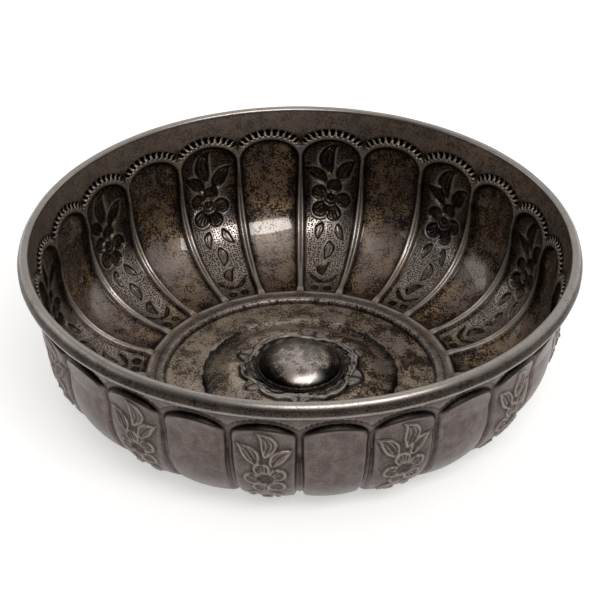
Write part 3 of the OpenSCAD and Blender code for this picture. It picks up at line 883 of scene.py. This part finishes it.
# painted shadow along each petal's edge, dark lines at the notches and along the creases
sootAndShade = bump(inward, -0.05, 0.26) + bump(gap, 1.0, 0.004) + petals["crease"] * crease
sootAndShade = sootAndShade + bump(inward, lipWidth + 0.3, 0.35)
trough = petals["troughSoot"] + petals["troughLumps"] * lumps
sootAndShade = sootAndShade + smoothStep(0.3, 0.9, inward - lipWidth) * trough
polish = petals["polish"] + petals["polishSwing"] * np.sin(2 * a - 1.2) + petals["polishLumps"] * lumps
polish = lip * polish * (1 - crease) + petals["leafPolish"] * (1 - onPetal)
polish = polish + petals["edgePolish"] * bump(inward, 0.5, 0.25)
paint(rosette, tarnish=np.clip(sootAndShade, 0, 1), rub=np.clip(polish, 0, 1), outside=0,
      age=petals["age"] + petals["petalAge"] * onPetal)
finishPiece(rosette, trimSilver, "rosette")

boss = {
    "footR": 13.8, "height": 7.0, "sheet": 0.9, "flange": 2.0, "foot": 5.4, "steps": 240, "hammer": 0.12,
    "hammerFoot": (1, 6.6, 8.5), "hammerTop": (1, 0, 4), "sink": 0.6,
    # grime round the foot, with tongues that reach up: height, angle, width
    "grimeTop": 7.8, "tongues": [(3.4, 3.1, 0.35), (3.0, -0.55, 0.12), (1.6, -2.1, 0.12), (1.0, 1.6, 0.2)],
    "grime": (0.92, 0.2, -0.6), "blotch": (0.8, 0.02, 0.4), "blotchBack": (1, -7, -2), "rub": (0.3, 9.5, 12.5),
    "glintTurn": -1.25, "glintWide": 0.1, "glint": (0.9, 9.2, 1.3), "age": 0.5,
}
bossFoot = boss["foot"] + boss["sheet"]


def bossSection():
    innerR, outerR = boss["footR"] - boss["sheet"], boss["footR"] + boss["flange"]
    section = [(innerR, boss["foot"]), (outerR, boss["foot"]), (outerR, bossFoot)]
    section += ovalArc((0, bossFoot), (boss["footR"], boss["height"]), 0, 90, 31)
    return section + ovalArc((0, bossFoot), (innerR, boss["height"] - boss["sheet"]), 90, 3, 30)


dome = spinSection("boss_polished", bossSection(), boss["steps"])
points = readPoints(dome)
r, a, z = polar(points)
isTop = (z > bossFoot - 0.01) & (np.hypot(r / boss["footR"], (z - bossFoot) / boss["height"]) > 0.96)
hammered = boss["hammer"] * (1 + np.sin(3 * a + 0.9 * z) * np.sin(2 * a - 0.7 * z + 1))
hammered = hammered * zone(boss["hammerFoot"], z) * zone(boss["hammerTop"], r) * isTop
points[:, :2] *= (1 - hammered / np.maximum(r, 1))[:, None]
points[:, 2] -= boss["sink"] * hammered * mm
movePoints(dome, points)
streaks = 0.5 * np.sin(7 * a + 1.9 * z) + 0.35 * np.sin(13 * a - 1.3 * z) + 0.25 * np.sin(29 * a + 1)
tongues = sum(rise * bump(np.cos(a - angle), 1, width) for rise, angle, width in boss["tongues"])
grimeTop = boss["grimeTop"] + tongues + streaks
ragged = z + 0.3 * np.sin(41 * a + 5 * z) * np.sin(23 * a - 6 * z) + 0.25 * np.sin(17 * a + 7 * z)
grime = zone(boss["grime"], ragged - grimeTop)
x, y = r * np.cos(a), r * np.sin(a)
blotch = np.sin(0.55 * x + 0.8 * y + 0.4) * np.sin(0.7 * x - 0.5 * y + 1.2)
blotch = blotch + 0.35 * np.sin(1.7 * x + 0.9 * y) * np.sin(1.3 * y - 0.8 * x) + 0.12 * streaks + 0.02 * (y - x)
blotch = zone(boss["blotch"], blotch) * zone(boss["blotchBack"], y)
# painted highlight on the front flank of the dome, where the front lamp shows in it
glint = bump(np.cos(a - boss["glintTurn"]), 1, boss["glintWide"]) * stripe(boss["glint"], z)
rub = zone(boss["rub"], z + 0.5 * streaks) + glint
paint(dome, tarnish=np.maximum(blotch, grime), rub=np.clip(rub, 0, 1), age=boss["age"],
      outside=np.where(isTop, 0, 1))
finishPiece(dome, bossSilver, "boss")

bossRing = {"midR": 14.5, "width": 1.0, "height": 0.7, "foot": 6.3, "steps": 240, "sootAndShade": 0.75, "age": 0.8}
halfRing = (bossRing["width"] / 2, bossRing["height"])
ringSection = ovalArc((bossRing["midR"], bossRing["foot"]), halfRing, 0, 180, 13)
thinRing = spinSection("boss_ring_worn", ringSection, bossRing["steps"])
paint(thinRing, tarnish=bossRing["sootAndShade"], rub=0, age=bossRing["age"], outside=0)
finishPiece(thinRing, trimSilver, "boss_ring")
print("middle made")

# the wire stays the CAD node: it is closed inside the bead
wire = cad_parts["rim_wire"]
wire.data.materials.clear()
wire.data.materials.append(wireIron)


# stage, light and camera

# a dark room in front, with pale walls above, behind and to the right: axis, start and full, strength
stageLook = {
    "floorSize": 12.0, "floor": "#E8E7E5", "floorRough": 0.9, "glow": 0.62, "world": "#FFFFFF", "dim": 0.10,
    "walls": [("Z", (0.50, 1.00), 0.45), ("Y", (-0.10, 0.60), 0.58), ("X", (0.45, 1.00), 0.32)],
}
bpy.context.scene.view_settings.view_transform = "Standard"
bpy.ops.object.select_all(action="DESELECT")
bpy.ops.mesh.primitive_plane_add(size=stageLook["floorSize"])
ground = bpy.context.object
ground.name = "floor"
# white acrylic, lit from below, so the floor stays pale under the bowl
lightTable = bpy.data.materials.new("white light table")
lightTable.use_nodes = True
acrylic = lightTable.node_tree.nodes["Principled BSDF"].inputs
acrylic["Base Color"].default_value = linear(stageLook["floor"])
acrylic["Roughness"].default_value = stageLook["floorRough"]
acrylic["Emission Color"].default_value = linear(stageLook["floor"])
acrylic["Emission Strength"].default_value = stageLook["glow"]
ground.data.materials.append(lightTable)

world = bpy.data.worlds.new("studio")
world.use_nodes = True
room = world.node_tree
toward = addNode(room, "SeparateXYZ", {0: addNode(room, "TexCoord")["Generated"]})
glow = stageLook["dim"]
for axis, span, strength in stageLook["walls"]:
    shade = addNode(room, "MapRange", {0: toward[axis], (1, 2): span, 4: strength}, **soft)[0]
    glow = addNode(room, "Math", {0: shade, 1: glow}, operation="ADD")[0]
air = room.nodes["Background"]
air.inputs["Color"].default_value = linear(stageLook["world"])
room.links.new(glow, air.inputs["Strength"])
bpy.context.scene.world = world


def placeAround(aim, view):
    a, e = math.radians(view["azimuth"]), math.radians(view["elevation"])
    return aim + view["distance"] * Vector((math.sin(a) * math.cos(e), -math.cos(a) * math.cos(e), math.sin(e)))


softboxes = [
    {"name": "front softbox", "azimuth": 28, "elevation": 46, "distance": 1.5, "size": (1.25, 0.5), "power": 12.5},
    {"name": "left card", "azimuth": -85, "elevation": 20, "distance": 1.5, "size": (1.4, 0.83), "power": 2.9},
]
bowlMiddle = Vector((0, 0, 0.03))
for box in softboxes:
    place = placeAround(bowlMiddle, box)
    bpy.ops.object.light_add(type="AREA", location=place)
    lamp = bpy.context.object
    lamp.name = box["name"]
    lamp.data.shape = "RECTANGLE"
    lamp.data.size, lamp.data.size_y = box["size"]
    lamp.data.energy = box["power"]
    lamp.rotation_euler = (bowlMiddle - place).to_track_quat("-Z", "Y").to_euler()

# camera fitted to the rim, the arch points and the floor ring of the photograph
shot = {
    "azimuth": 7.6, "elevation": 32.6, "distance": 1.045, "aimZ": 0.0506, "focalPx": 3103, "imagePx": 600,
    "risePx": 42.7, "sensorMm": 36,
}
aim = Vector((0, 0, shot["aimZ"]))
eye = placeAround(aim, shot)
forward = (aim - eye).normalized()
upward = forward.cross(Vector((0, 0, 1))).cross(forward).normalized()
aim = aim - upward * shot["distance"] * shot["risePx"] / shot["focalPx"]
bpy.ops.object.camera_add(location=eye, rotation=(aim - eye).to_track_quat("-Z", "Y").to_euler())
camera = bpy.context.object
camera.data.sensor_width = shot["sensorMm"]
camera.data.lens = shot["sensorMm"] * shot["focalPx"] / shot["imagePx"]
bpy.context.scene.camera = camera
print("stage set")
